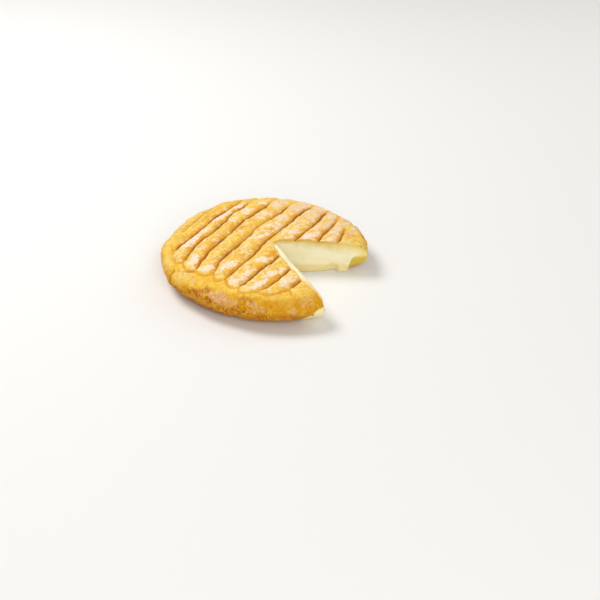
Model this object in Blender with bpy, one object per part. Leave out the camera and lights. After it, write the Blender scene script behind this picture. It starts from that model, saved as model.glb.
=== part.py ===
"""Washed rind cheese wheel with one wedge cut out, as one solid.

Metres, +Z up, +X along the middle of the missing wedge, underside at z = 0,
origin at the centre of the bounding box's base.
"""
import math

import bpy
import numpy as np
from mathutils.geometry import delaunay_2d_cdt

for old in list(bpy.data.objects):
    bpy.data.objects.remove(old, do_unlink=True)

# ------------------------------------------------------------- rim and profile
RIM_RADIUS = 0.1000
RIM_LOBES = ((2, 0.00258, -41.1), (3, 0.00088, 87.6), (4, 0.00175, 51.5))
BULGE_HEIGHT = 0.0172
TOP_HEIGHT = 0.0324
TOP_POWER = 5.0
FOOT_INSET = 0.0175
FOOT_POWER = 1.8
SLUMP_A = 0.0012
SLUMP_B = 0.0042
SLUMP_ANGLE = 16.0
SIDE_LUMP = 0.0007

# ------------------------------------------------------------------- the notch
APEX = (0.0089, -0.0002)
CUT_A_TOP_ANGLE = 29.7
CUT_A_BASE_ANGLE = 34.5
CUT_A_EDGE = 0.0034
CUT_A_SPREAD = 0.0040
CUT_A_SCOOP = 0.0022
CUT_A_DRIP = 0.0048
CUT_B_TOP_ANGLE = 333.2
CUT_B_BASE_ANGLE = 332.0
CUT_B_FLARE = 1.3
CUT_B_HOLLOW = 0.0037
CUT_B_SQUEEZE = 0.0040
FOOT_TUCK_B = 0.0035
PASTE_SWELL = 0.0009
TIP_BEAD = 0.0026

# ----------------------------------------------------- creases across the top
CREASE_AXIS = 96.0
CREASE_SPAN = 0.080
WAVE_LENGTH = 0.065
# offset, lean, bow, twist, wave (mm), wave turn (deg), depth share, front end, back end (mm)
CREASES = (
    (-81.3, 0.0, 0.0, 0.0, 0.5, 160.0, 0.45, -22.0, 38.0),
    (-66.4, 4.0, 0.2, -4.1, 0.7, 170.0, 0.90, -54.0, 70.0),
    (-53.3, -0.6, 1.0, -2.5, 1.6, 103.0, 1.05, -66.0, 58.0),
    (-36.8, 0.5, 4.8, -1.8, 0.8, 165.0, 1.05, -72.0, 72.0),
    (-18.1, 2.0, 5.6, -2.0, 1.2, 161.0, 0.95, -70.0, 73.0),
    (2.7, 1.2, 1.6, 0.6, 0.9, -101.0, 1.00, -74.0, 84.0),
    (26.4, 1.6, -5.2, 1.9, 1.1, 150.0, 1.00, -78.0, 83.0),
    (48.3, -4.6, -11.9, 7.2, 1.6, 121.0, 1.00, -76.0, 72.0),
    (59.1, 0.7, 2.5, -4.6, 2.7, -62.0, 0.90, -61.0, 58.0),
)
CREASE_DEPTH = 0.0021
CREASE_LEFT = 0.0030
CREASE_RIGHT = 0.0022
PILLOW_DEPTH = 0.0010
PILLOW_WIDTH = 0.0065
RIDGE_LIFT = 0.0007

# --------------------------------------------------------------- mesh fineness
BAND_COLUMNS = 116
CUT_COLUMNS = 36
TOP_EDGE_SHARE = 0.905
TOP_ROWS = 6
FOOT_ROWS = 7
ROW_STEP = 0.0056


def smooth(a, b, x):
    t = np.clip((x - a) / (b - a), 0.0, 1.0)
    return t * t * (3.0 - 2.0 * t)


def rim(phi):
    """Radius of the bulge at a direction, in radians."""
    r = np.full_like(phi, RIM_RADIUS)
    for order, size, lobe in RIM_LOBES:
        r = r + size * np.cos(order * (phi - math.radians(lobe)))
    deg = np.degrees(phi) % 360.0
    r = r + SLUMP_A * np.exp(-((deg - CUT_A_TOP_ANGLE) / SLUMP_ANGLE) ** 2)
    r = r + SLUMP_B * np.exp(-((deg - CUT_B_TOP_ANGLE) / SLUMP_ANGLE) ** 2)
    return r


def dome(x, y):
    """Height of the smooth top and its unit normal."""
    phi = np.arctan2(y, x)
    r = np.hypot(x, y)
    big = rim(phi)
    q = np.clip(r / big, 0.0, 0.9995)
    rise = TOP_HEIGHT - BULGE_HEIGHT
    root = np.sqrt(1.0 - q ** TOP_POWER)
    z = BULGE_HEIGHT + rise * root
    out = TOP_POWER * q ** (TOP_POWER - 1.0) / big
    up = 2.0 * root / rise
    size = np.hypot(out, up)
    safe = np.maximum(r, 1e-9)
    normal = np.stack([out / size * x / safe, out / size * y / safe, up / size], -1)
    return z, normal


def crease_frame(x, y):
    a = math.radians(CREASE_AXIS)
    v = x * math.cos(a) + y * math.sin(a)
    u = x * math.sin(a) - y * math.cos(a)
    return u, v


def crease_line(row, v):
    t = v / CREASE_SPAN
    wave = row[4] * np.sin(2.0 * math.pi * v / WAVE_LENGTH + math.radians(row[5]))
    return (row[0] + row[1] * t + row[2] * t ** 2 + row[3] * t ** 3 + wave) * 0.001


def crease_strength(row, v):
    front = smooth(row[7] * 0.001 - 0.004, row[7] * 0.001 + 0.006, v)
    back = 1.0 - smooth(row[8] * 0.001 - 0.010, row[8] * 0.001 + 0.005, v)
    return row[6] * front * back


def relief(x, y):
    """Height of the ridges and creases above the smooth top."""
    u, v = crease_frame(x, y)
    q = np.hypot(x, y) / rim(np.arctan2(y, x))
    fade = 1.0 - smooth(0.87, 0.99, q)
    middle = 1.0 - 0.35 * np.exp(-((u + 0.016) / 0.020) ** 2 - ((v - 0.012) / 0.032) ** 2)
    lift = RIDGE_LIFT * (1.0 - smooth(0.80, 0.90, q) * smooth(0.03, -0.03, v))
    lift = lift * fade
    total = lift
    for row in CREASES:
        s = u - crease_line(row, v)
        strength = crease_strength(row, v)
        wide = np.where(s < 0.0, CREASE_LEFT, CREASE_RIGHT)
        sharp = np.exp(-(np.abs(s) / wide) ** 1.5)
        soft = np.exp(-(s / PILLOW_WIDTH) ** 2)
        total = total - fade * middle * strength * (CREASE_DEPTH * sharp + PILLOW_DEPTH * soft)
    return total


def top_point(x, y):
    z, normal = dome(x, y)
    return np.stack([x, y, z], -1) + normal * relief(x, y)[..., None]


def top_height(x, y):
    z, normal = dome(x, y)
    return z + relief(x, y) / np.maximum(normal[..., 2], 0.5)


def side_lump(phi, z):
    wave = np.sin(7 * phi + 1.1) + 0.7 * np.sin(13 * phi + 2.0 + 90.0 * z)
    wave = wave + 0.5 * np.sin(23 * phi - 140.0 * z)
    return SIDE_LUMP * 0.6 * wave * np.sin(np.pi * np.clip(z / TOP_HEIGHT, 0.0, 1.0))


# -------------------------------------------------- rows of the rounded side
start = math.acos(TOP_EDGE_SHARE ** (TOP_POWER / 2.0))
upper = [start * (1.0 - k / TOP_ROWS) for k in range(TOP_ROWS + 1)]
lower = [math.pi / 2 * k / FOOT_ROWS for k in range(1, FOOT_ROWS + 1)]
ROWS = len(upper) + len(lower)
heights = [BULGE_HEIGHT + (TOP_HEIGHT - BULGE_HEIGHT) * math.sin(a) for a in upper]
heights += [BULGE_HEIGHT * (1.0 - math.sin(a) ** (2 / FOOT_POWER)) for a in lower]
heights[-1] = 0.0
drop = 1.0 - np.array(heights) / heights[0]


def side_column(phi, row):
    """Points of one row of the side for an array of directions."""
    big = rim(phi)
    if row < len(upper):
        q = math.cos(upper[row]) ** (2.0 / TOP_POWER)
        r = big * q
        p = top_point(r * np.cos(phi), r * np.sin(phi))
        z = p[:, 2]
    else:
        a = lower[row - len(upper)]
        tuck = FOOT_TUCK_B * np.exp(-((np.degrees(phi) - CUT_B_TOP_ANGLE) / SLUMP_ANGLE) ** 2)
        r = big - (FOOT_INSET + tuck) * (1.0 - max(math.cos(a), 0.0) ** (2.0 / FOOT_POWER))
        z = np.full_like(phi, heights[row])
        p = np.stack([r * np.cos(phi), r * np.sin(phi), z], -1)
    push = side_lump(phi, z)
    if row == ROWS - 1:
        push = push * 0.0
    p[:, 0] += push * np.cos(phi)
    p[:, 1] += push * np.sin(phi)
    deg = np.degrees(phi)
    bead = TIP_BEAD * np.exp(-((deg - CUT_B_TOP_ANGLE) / 3.0) ** 2 - ((z - 0.007) / 0.005) ** 2)
    p[:, 0] += bead * np.cos(phi)
    p[:, 1] += bead * np.sin(phi)
    return p


band = np.zeros((BAND_COLUMNS, ROWS, 3))
turn = np.linspace(0.0, 1.0, BAND_COLUMNS)
for row in range(ROWS):
    share = drop[row]
    first = CUT_A_TOP_ANGLE + (CUT_A_BASE_ANGLE - CUT_A_TOP_ANGLE) * share
    last = CUT_B_TOP_ANGLE + (CUT_B_BASE_ANGLE - CUT_B_TOP_ANGLE) * share
    last += CUT_B_FLARE * 4.0 * share * (1.0 - share)
    phi = np.radians(first + (last - first) * turn)
    band[:, row] = side_column(phi, row)


def cut_face(end, offset):
    """Columns of a cut face from the apex to the end column of the side."""
    s = np.linspace(0.0, 1.0, CUT_COLUMNS + 1)
    apex = np.array(APEX)
    direction = end[0, :2] - apex
    direction = direction / np.hypot(*direction)
    face = np.zeros((CUT_COLUMNS + 1, ROWS, 3))
    for row in range(ROWS):
        xy = apex + s[:, None] * (end[row, :2] - apex)
        along = s * np.hypot(*(end[row, :2] - apex))
        level = 1.0 - drop[row]
        face[:, row, :2] = xy + offset(s, along, level)[:, None] * cut_normal(end)
    top = top_height(face[:, 0, 0], face[:, 0, 1])
    keep = s ** 12
    for row in range(ROWS):
        z = top * (1.0 - drop[row])
        face[:, row, 2] = z * (1.0 - keep) + end[row, 2] * keep
    return face


def cut_normal(end):
    """Horizontal direction out of the solid on a cut face."""
    d = end[0, :2] - np.array(APEX)
    d = d / np.hypot(*d)
    side = np.array([d[1], -d[0]])
    if side[0] < 0.0:
        side = -side
    return side


def offset_a(s, along, level):
    swell = PASTE_SWELL * 4.0 * level * (1.0 - level) * np.sin(np.pi * s)
    edge = -CUT_A_EDGE * np.exp(-((along - 0.024) / 0.024) ** 2) * level ** 2
    spread = CUT_A_SPREAD * (1.0 - level) * smooth(0.0, 0.4, s) * smooth(1.0, 0.88, s)
    low = smooth(0.45, 0.05, level)
    scoop = -CUT_A_SCOOP * np.exp(-((along - 0.0585) / 0.006) ** 2) * low
    drip = CUT_A_DRIP * np.exp(-((along - 0.0675) / 0.0040) ** 4) * low
    return (swell + edge + spread + scoop + drip) * smooth(0.0, 0.08, s) * smooth(1.0, 0.97, s)


def offset_b(s, along, level):
    swell = PASTE_SWELL * 4.0 * level * (1.0 - level) * np.sin(np.pi * s)
    bend = np.clip((level - 0.80) / 0.20, 0.0, 1.0)
    squeeze = CUT_B_SQUEEZE * np.sqrt(1.0 - bend * bend)
    hollow = -CUT_B_HOLLOW * 6.75 * s * s * (1.0 - s)
    return (swell + squeeze) * smooth(0.0, 0.10, s) * smooth(1.0, 0.92, s) + hollow


face_a = cut_face(band[0], offset_a)
face_b = cut_face(band[-1], offset_b)

# ------------------------------------- one closed ring of columns, apex shared
ring = [band[k] for k in range(BAND_COLUMNS)]
ring += [face_b[k] for k in range(CUT_COLUMNS - 1, 0, -1)]
ring += [(face_a[0] + face_b[0]) / 2.0]
ring += [face_a[k] for k in range(1, CUT_COLUMNS)]
ring = np.array(ring)
COUNT = len(ring)


def inside(points, loop):
    """Which points lie inside a closed plan loop."""
    hit = np.zeros(len(points), bool)
    a = loop
    b = np.roll(loop, -1, 0)
    for (ax, ay), (bx, by) in zip(a, b):
        spans = (ay > points[:, 1]) != (by > points[:, 1])
        if ay == by:
            continue
        cross = ax + (points[:, 1] - ay) * (bx - ax) / (by - ay)
        hit ^= spans & (points[:, 0] < cross)
    return hit


def loop_gap(points, loop):
    """Shortest plan distance from each point to a closed loop."""
    gap = np.full(len(points), 1.0)
    b = np.roll(loop, -1, 0)
    for start_point, end_point in zip(loop, b):
        e = end_point - start_point
        t = np.clip((points - start_point) @ e / max(e @ e, 1e-18), 0.0, 1.0)
        d = np.hypot(*(points - start_point - t[:, None] * e).T)
        gap = np.minimum(gap, d)
    return gap


def top_fill_points(loop):
    """Points in rows along each crease, its flanks and the ridge between."""
    a = math.radians(CREASE_AXIS)
    axis_v = np.array([math.cos(a), math.sin(a)])
    axis_u = np.array([math.sin(a), -math.cos(a)])
    v = np.arange(-0.098, 0.0981, ROW_STEP)
    lines = [crease_line(row, v) for row in CREASES]
    rows = []
    for line in lines:
        rows += [line - 0.0047, line - 0.0021, line, line + 0.0016, line + 0.0037]
    for left, right in zip(lines[:-1], lines[1:]):
        rows.append((left * 0.42 + right * 0.58))
        rows.append((left * 0.66 + right * 0.34))
    for extra in (0.010, 0.017, 0.024, 0.031):
        rows.append(lines[-1] + extra)
    for extra in (0.007, 0.013):
        rows.append(lines[0] - extra)
    out = []
    for u in rows:
        out.append(u[:, None] * axis_u + v[:, None] * axis_v)
    points = np.concatenate(out)
    points = points[inside(points, loop)]
    return points[loop_gap(points, loop) > 0.0013]


def base_fill_points(loop):
    g = np.arange(-0.108, 0.1081, 0.013)
    gx, gy = np.meshgrid(g, g)
    gx = gx + 0.0065 * (np.arange(len(g))[:, None] % 2)
    points = np.stack([gx.ravel(), gy.ravel()], -1)
    points = points[inside(points, loop)]
    return points[loop_gap(points, loop) > 0.004]


def thin(points, least):
    """Drop points that crowd a point already kept."""
    kept = []
    cells = {}
    for p in points:
        i, j = int(p[0] // least), int(p[1] // least)
        near = [c for di in (-1, 0, 1) for dj in (-1, 0, 1) for c in cells.get((i + di, j + dj), [])]
        if all(math.hypot(p[0] - c[0], p[1] - c[1]) >= least for c in near):
            kept.append(p)
            cells.setdefault((i, j), []).append(p)
    return np.array(kept)


def fill(loop, points):
    """Triangles over a plan loop that use its own corners and inner points."""
    n = len(loop)
    scale = 1000.0
    coords = [(float(p[0]) * scale, float(p[1]) * scale) for p in list(loop) + list(points)]
    edges = [(k, (k + 1) % n) for k in range(n)]
    result = delaunay_2d_cdt(coords, edges, [], 1, 1e-5)
    verts, faces, origin = result[0], result[2], result[3]
    index = [o[0] if o else -1 for o in origin]
    tris = []
    for f in faces:
        t = [index[k] for k in f]
        p = [verts[k] for k in f]
        area = (p[1][0] - p[0][0]) * (p[2][1] - p[0][1]) - (p[1][1] - p[0][1]) * (p[2][0] - p[0][0])
        tris.append(t if area > 0 else t[::-1])
    return tris


# ------------------------------------------------------------ assemble the solid
verts = [tuple(p) for column in ring for p in column]
faces = []
for c in range(COUNT):
    d = (c + 1) % COUNT
    for row in range(ROWS - 1):
        a0, a1 = c * ROWS + row, c * ROWS + row + 1
        b0, b1 = d * ROWS + row, d * ROWS + row + 1
        if (c + row) % 2:
            faces += [(a0, a1, b1), (a0, b1, b0)]
        else:
            faces += [(a0, a1, b0), (a1, b1, b0)]

top_loop = ring[:, 0, :2]
flat = thin(top_fill_points(top_loop), 0.00125)
lifted = np.stack([flat[:, 0], flat[:, 1], top_height(flat[:, 0], flat[:, 1])], -1)
first_top = len(verts)
verts += [tuple(p) for p in lifted]
for t in fill(top_loop, flat):
    faces.append(tuple(k * ROWS if k < COUNT else first_top + k - COUNT for k in t))

base_loop = ring[:, ROWS - 1, :2]
flat = thin(base_fill_points(base_loop), 0.004)
first_base = len(verts)
verts += [(p[0], p[1], 0.0) for p in flat]
for t in fill(base_loop, flat):
    u = [k * ROWS + ROWS - 1 if k < COUNT else first_base + k - COUNT for k in t]
    faces.append(tuple(u[::-1]))

spots = np.array(verts)
low = spots.min(0)
high = spots.max(0)
spots -= np.array([(low[0] + high[0]) / 2.0, (low[1] + high[1]) / 2.0, low[2]])

mesh = bpy.data.meshes.new("cheese_wheel")
mesh.from_pydata([tuple(p) for p in spots], [], faces)
mesh.validate()
mesh.update()
wheel = bpy.data.objects.new("cheese_wheel", mesh)
bpy.context.scene.collection.objects.link(wheel)

rind = bpy.data.materials.new("rind")
rind.use_nodes = True
shader = rind.node_tree.nodes["Principled BSDF"]
shader.inputs["Base Color"].default_value = (0.78, 0.42, 0.09, 1.0)
shader.inputs["Roughness"].default_value = 0.55
mesh.materials.append(rind)
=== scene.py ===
"""Washed rind cheese wheel with a wedge cut out: the detailed mesh, its rind and
paste materials, a pale floor, soft light and the camera. Metres, +Z up, angles in
degrees, unless a comment says otherwise."""
import math

import bpy
import numpy as np
from mathutils.geometry import delaunay_2d_cdt
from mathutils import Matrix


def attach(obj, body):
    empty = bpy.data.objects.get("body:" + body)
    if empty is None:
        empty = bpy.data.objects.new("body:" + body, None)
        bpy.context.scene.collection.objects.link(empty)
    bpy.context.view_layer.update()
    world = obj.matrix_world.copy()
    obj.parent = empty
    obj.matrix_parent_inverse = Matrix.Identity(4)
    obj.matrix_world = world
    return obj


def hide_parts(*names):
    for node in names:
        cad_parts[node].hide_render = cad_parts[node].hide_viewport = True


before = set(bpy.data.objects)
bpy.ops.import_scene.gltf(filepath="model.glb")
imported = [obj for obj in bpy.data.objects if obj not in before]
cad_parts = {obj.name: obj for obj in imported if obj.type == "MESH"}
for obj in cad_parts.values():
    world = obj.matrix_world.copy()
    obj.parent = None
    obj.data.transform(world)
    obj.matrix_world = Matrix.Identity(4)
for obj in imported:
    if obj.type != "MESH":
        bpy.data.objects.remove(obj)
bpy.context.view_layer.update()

# ---- shape, as in the source
# Rim circle and its lobes: order, size and direction
RIM_RADIUS = 0.1000
RIM_LOBES = ((2, 0.00258, -41.1), (3, 0.00088, 87.6), (4, 0.00175, 51.5))
# Levels of the widest line and of the top, and how square the shoulder and the foot are
BULGE_HEIGHT = 0.0172
TOP_HEIGHT = 0.0324
TOP_POWER = 5.0
FOOT_INSET = 0.0175
FOOT_POWER = 1.8
# How far the rim spreads at each cut, and over what angle
SLUMP_A = 0.0012
SLUMP_B = 0.0042
SLUMP_ANGLE = 16.0
SIDE_LUMP = 0.0007

# Inner corner of the missing wedge. Cut A is its far face and cut B its near one
APEX = (0.0089, -0.0002)
CUT_A_TOP_ANGLE = 29.7
CUT_A_BASE_ANGLE = 34.5
CUT_A_EDGE = 0.0034
CUT_A_SPREAD = 0.0040
CUT_A_SCOOP = 0.0022
CUT_A_DRIP = 0.0048
CUT_B_TOP_ANGLE = 333.2
CUT_B_BASE_ANGLE = 332.0
CUT_B_FLARE = 1.3
CUT_B_HOLLOW = 0.0037
CUT_B_SQUEEZE = 0.0040
FOOT_TUCK_B = 0.0035
PASTE_SWELL = 0.0009
TIP_BEAD = 0.0026

CREASE_AXIS = 96.0
CREASE_SPAN = 0.080
WAVE_LENGTH = 0.065
# offset, lean, bow, twist, wave (mm), wave turn (deg), depth share, front end, back end (mm)
CREASES = (
    (-81.3, 0, 0, 0, 0.5, 160, 0.45, -22, 38), (-66.4, 4, 0.2, -4.1, 0.7, 170, 0.9, -54, 70),
    (-53.3, -0.6, 1, -2.5, 1.6, 103, 1.05, -66, 58),
    (-36.8, 0.5, 4.8, -1.8, 0.8, 165, 1.05, -72, 72),
    (-18.1, 2, 5.6, -2, 1.2, 161, 0.95, -70, 73), (2.7, 1.2, 1.6, 0.6, 0.9, -101, 1, -74, 84),
    (26.4, 1.6, -5.2, 1.9, 1.1, 150, 1, -78, 83),
    (48.3, -4.6, -11.9, 7.2, 1.6, 121, 1, -76, 72),
    (59.1, 0.7, 2.5, -4.6, 2.7, -62, 0.9, -61, 58),
)
CREASE_DEPTH = 0.0021
CREASE_LEFT = 0.0030
CREASE_RIGHT = 0.0022
PILLOW_DEPTH = 0.0010
PILLOW_WIDTH = 0.0065
RIDGE_LIFT = 0.0007
TOP_EDGE_SHARE = 0.905
# From the middle of the rim circle to the middle of the bounding box
ORIGIN_SHIFT = (-0.00096, 0.00062, 0.0)

# ---- detail of this mesh
# Columns round the side and along a cut, rows up the side, and grids of top and base
BAND_COLUMNS = 640
CUT_COLUMNS = 116
TOP_ROWS = 18
FOOT_ROWS = 34
TOP_PITCH = 0.00074
BASE_PITCH = 0.0040
GRID_REACH = 0.108
CLEAR_CELL = 0.004

# Sharp core of a crease, and its width as a share of the source's
CORE_DEPTH = 0.0008
CORE_WIDTH = 0.0008
TIGHTEN = 0.80
# Groove in front of the ridges' ends, and how far the middle of an end stands forward
MOAT_DEPTH = 0.0011
MOAT_WIDTH = 0.0015
MOAT_PLACE = -0.0016
TIP_LOBE = 0.0052
WRINKLE_WIDTH = 0.0007
# Outer edges of the two outermost ridges, and where the ridges fade on the left and right
OUTER_LINES = (-0.100, 0.080)
RIDGES_LEFT = (-0.072, -0.060)
RIDGES_RIGHT = (0.074, 0.062)
# Shares of the radius over which the relief of the top fades out
RELIEF_FADE = (0.87, 0.99)
# Where the creases are shallower: middle, half sizes and how much
WORN_MIDDLE = (-0.016, 0.012)
WORN_SIZE = (0.020, 0.032)
WORN_SHARE = 0.35
# How much the knife has flattened the ridges at each cut, and how far in
CUT_CALM = ((CUT_A_TOP_ANGLE, 0.75), (CUT_B_TOP_ANGLE, 0.55))
EDGE_CALM = 0.0045

# Cut A: paste below the rind, place and width of edge, scoop and drip along the cut
PASTE_DROP = 0.0008
CUT_A_EDGE_PLACE = (0.024, 0.024)
CUT_A_SCOOP_PLACE = (0.0565, 0.0045)
CUT_A_DRIP_PLACE = (0.0668, 0.0056)
DRIP_SHARE = 0.72
# Height below which the far end of cut A is rind, not paste, by the distance along it
SKIN_LINE = (
    (0.0712, -0.004), (0.0730, 0.0060), (0.0742, 0.0112), (0.0757, 0.0152),
    (0.0789, 0.0176), (0.0818, 0.0186), (0.0880, 0.0190),
)
# Narrowing of the olive band under the rind of cut A, by the distance along it
BAND_A = ((0.018, 1.0), (0.029, 0.62), (0.048, 0.52), (0.055, 0.40), (0.066, 0.34), (0.076, 0.38))

# Cut B: depth and reach of the rind's lip, and its outward part
LIP_DROP = 0.0024
LIP_REACH = 0.0030
LIP_OUT = 0.0012
# How far the rind stands back from cut B: share of the way out and mm
LIP_PULL = ((0, 0), (0.12, 3.6), (0.28, 4.3), (0.50, 2.7), (0.70, 1.7), (0.88, 0.9), (1, 0))
# The foot towards cut B, drawn in and rounded, and drawn in further under the bead
FOOT_TRIM = 0.0020
FOOT_ROUND = 0.25
TRIM_SPAN = (285.0, 318.0)
TIP_TUCK = 0.0040
TIP_SPAN = (323.0, 331.0)
# The paste bead at cut B: place and size (direction, height), push and its upper edge
BEAD_PLACE = (CUT_B_TOP_ANGLE, 0.007)
BEAD_SIZE = (3.0, 0.005)
BEAD_PUSH = 0.0013
BEAD_EDGE = (
    (324.0, -0.002), (325.4, 0.0056), (326.3, 0.0076), (327.7, 0.0082),
    (328.6, 0.0092), (329.3, 0.0158), (331, 0.0172), (335, 0.0176),
)
# The small dark hole under the rind of cut A: direction, height and depth
PIT_PLACE = (31.6, 0.0262)
PIT_SIZE = (0.55, 0.0008)
PIT_DEPTH = 0.0009
PORE_DEPTH = 0.0006
WART_HEIGHT = 0.00030

# Random fields: strength, size of the features, seed and octaves
FRONT_WAVE = (0.0008, 0.006, 15, 1)
DIMPLES = (0.00030, 0.011, 3, 3)
RIPPLES = (0.00022, 0.0075, 17, 1)
STRAY = (0.0007, 0.009, 11, 1)
FINE_STRAY = (0.0003, 0.0035, 12, 1)
DEPTH_CHANGE = (0.30, 0.016, 13, 1)
DARK_CHANGE = (0.35, 0.020, 14, 1)
GRAIN = (0.00030, 0.0046, 21, 3)
FINE_GRAIN = (0.00012, 0.0018, 31, 2)
LUMPS = (0.00075, 0.015, 41, 2)
SMALL_LUMPS = (0.00045, 0.0075, 43, 1)
SIDE_RIBS = (0.00014, 0.0016, 45, 1)
SMEAR = (0.00012, 0.012, 51, 3)
BEAD_WAVE = (0.0004, 0.004, 71, 1)
SKIN_WAVE = (0.0008, 0.004, 91, 1)
# Wander of the colour patches: across and along the ridges, round and up the side
WANDER_U = ((0.0009, 0.009, 81, 1), (0.0007, 0.0035, 82, 1))
WANDER_V = ((0.0014, 0.009, 83, 1), (0.0009, 0.0035, 84, 1))
WANDER_DEG = ((0.8, 0.008, 85, 1), (0.5, 0.003, 86, 1))
WANDER_Z = ((0.0009, 0.008, 87, 1), (0.0005, 0.003, 88, 1))

# Folds of the side: direction (deg), lean (deg per mm), half width (mm), the span up the
# side and over the shoulder (mm) and depth (mm)
FOLDS = (
    (242.4, -0.22, 2.7, 11, 33, 1.7), (249, 0.75, 2.2, 29, 47, 1.2),
    (233, 0.25, 2, 14, 31, 0.7), (256, 0.2, 1.6, 20, 36, 0.6), (276, -0.2, 1.8, 22, 38, 0.5),
    (308, -0.15, 1.2, 24, 40, 0.8), (322, 0.2, 1.6, 14, 30, 0.5), (205, 0.2, 1.8, 10, 32, 0.7),
    (178, -0.15, 1.8, 12, 26, 0.4), (150, -0.2, 1.7, 9, 24, 0.4), (121, 0.15, 1.7, 12, 33, 0.6),
    (96, 0.15, 1.6, 8, 28, 0.7), (62, -0.14, 1.7, 10, 30, 0.6), (44, 0.2, 1.5, 12, 28, 0.5),
)
# mm round the side in one degree, and mm in along the shoulder in one share of the radius
MM_PER_DEGREE = 1.70
MM_PER_SHARE = 97.0

# Wrinkles across a ridge: middle across and along the ridges (mm), half length (mm),
# bow (mm), turn (deg) and depth (mm)
WRINKLES = (
    (-42.5, -23.5, 5.5, -1.6, 25, 0.45), (-22.5, -34, 7, -1.8, 18, 0.5),
    (18, -35, 6, 1.4, -12, 0.4), (-6, -20, 4.5, 1, 20, 0.3), (-27, 2, 5, -1.2, 14, 0.35),
    (15, 20, 5, 1.1, -15, 0.3), (36, 12, 5, -1.2, 12, 0.35), (55, 44, 4, 1, -18, 0.35),
    (-58, -8, 4, 1, 16, 0.35), (34, -48, 5, -1, 10, 0.3), (-46, 26, 4.5, 1.2, -14, 0.3),
    (14, 66, 5, -1.2, 16, 0.35),
)

# Soft patches of colour on the top: middle across and along the ridges (mm), half sizes
# (mm), turn (deg) and strength
BLOOM = (
    (-63, -34, 5.7, 13, 1, 1), (-62, 24, 4.4, 18.9, -2, 1), (-61, -16, 3.6, 12, -6, 0.9),
    (-59, 47, 3.3, 11, -24, 0.95), (-46, 40, 6.6, 8.4, -12, 0.85),
    (-46, 21, 4.1, 10.9, -2, 0.55), (-39, 67, 4.1, 10.3, -16, 0.7),
    (-26, 40, 5.3, 8.4, -24, 0.75), (-6, 44, 5, 9.6, -2, 1), (-6, 26, 4.4, 8.9, -13, 0.7),
    (-4, 7, 3.1, 9.1, -21, 0.8), (-14, -3, 2.8, 7.3, -9, 0.9), (-17, 76, 4.8, 8, -82, 0.85),
    (-28, 77, 4, 8, -81, 0.75), (-21, 62, 3.4, 7, -9, 0.75), (-7, 72, 4.8, 5.5, -39, 0.65),
    (-1, 76, 4.2, 6, -78, 0.7), (16, 53, 4.4, 12, -8, 0.6), (17, 25, 3.6, 7.2, -16, 0.8),
    (16, 14, 2.6, 4.9, -29, 0.6), (39, 56, 2.9, 7.1, -2, 0.95), (33, 45, 3.8, 6.5, -5, 0.85),
    (33, 23, 4.1, 7, -19, 0.95), (51, 51, 3.7, 9, -2, 0.95), (55, 34, 3.5, 7, -14, 0.9),
    (51, 64, 4.7, 8, -23, 0.9), (64, 35, 2.9, 6.2, -2, 0.8), (-41, -61, 4, 9, 13, 1),
    (-21, -68, 4.3, 7.6, -25, 1), (-6, -55, 4.2, 8.7, -27, 1), (11, -75, 2.8, 6, -42, 0.9),
    (15, -59, 3, 9.4, -14, 0.95), (16, -35, 3.8, 8.7, -16, 0.8), (33, -69, 3.4, 9, -26, 0.95),
    (35, -52, 3.4, 7.9, -27, 0.95), (39, -41, 3.4, 6.5, -19, 0.7),
    (53, -52, 4.5, 10.7, -15, 0.85), (-5, -29, 3.6, 7.3, -11, 0.6),
    (-42, -22, 2, 6.7, -80, 0.7), (-23, -34, 2.2, 8, -79, 0.6), (-26, -52, 2.6, 4.3, -20, 0.5),
    (28, 80, 8, 5, 0, 0.6),
)
RUST = (
    (64, 49, 5.5, 7, -2, 0.9), (45, 73, 4.4, 6.3, -82, 0.9), (7, 73, 3.3, 7.4, -5, 1),
    (26, 74, 2.5, 8.1, 10, 0.9), (4, 68, 3.3, 5.6, -24, 0.8), (22, 19, 2.2, 7.1, -10, 0.8),
    (-4, 18, 2.5, 7.8, -16, 0.7), (3, -2, 4.1, 8.3, -5, 0.9), (-54, 3, 3.2, 8.3, -1, 1),
    (-35, 6, 4.4, 13.3, -11, 0.85), (-40, -16, 3.2, 15.3, -5, 0.5), (-17, -54, 2.8, 5.7, 3, 1),
    (-18, -43, 3.4, 9.8, 4, 0.8), (0, -16, 3.1, 10.9, -2, 0.9), (20, -20, 3.5, 10.6, -3, 0.9),
    (19, -74, 2.1, 4.5, -9, 0.9), (42, -58, 2.4, 5.8, -12, 1), (58, -59, 2.4, 7.2, -16, 0.9),
    (-38, -22, 2, 5.5, -4, 0.8), (0, -52, 1.8, 5.3, 0, 0.8), (-74, 8, 2.5, 26, 0, 0.5),
    (-50, -44, 3, 9, 4, 0.6), (-57, 66, 6, 6, 0, 0.5), (-72, -34, 4, 8, 0, 0.5),
)
OLIVE = (
    (-74, -25, 2.6, 4.3, 8, 1), (-70, -15, 2, 4.9, -4, 1), (-72, 9, 2.5, 4.8, -18, 1),
    (-6, -17, 2.6, 6.4, 5, 0.7), (29, -65, 1.9, 3.7, -14, 0.8), (21, -71, 2.2, 5.7, 1, 0.8),
    (-29, -16, 2.4, 4.7, 13, 0.6), (-17, 51, 1.9, 7.2, 5, 0.8), (38, 33, 2.2, 6.3, -8, 0.8),
    (-28, 14, 5, 8, 0, 0.6), (80, 36, 10, 14, 0, 0.7), (-82, 18, 6, 22, 0, 0.8),
    (-74, -40, 5, 9, 0, 0.6), (72, -58, 5, 5, 0, 0.9), (-8, -34, 4, 6, 0, 0.4),
)
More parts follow.
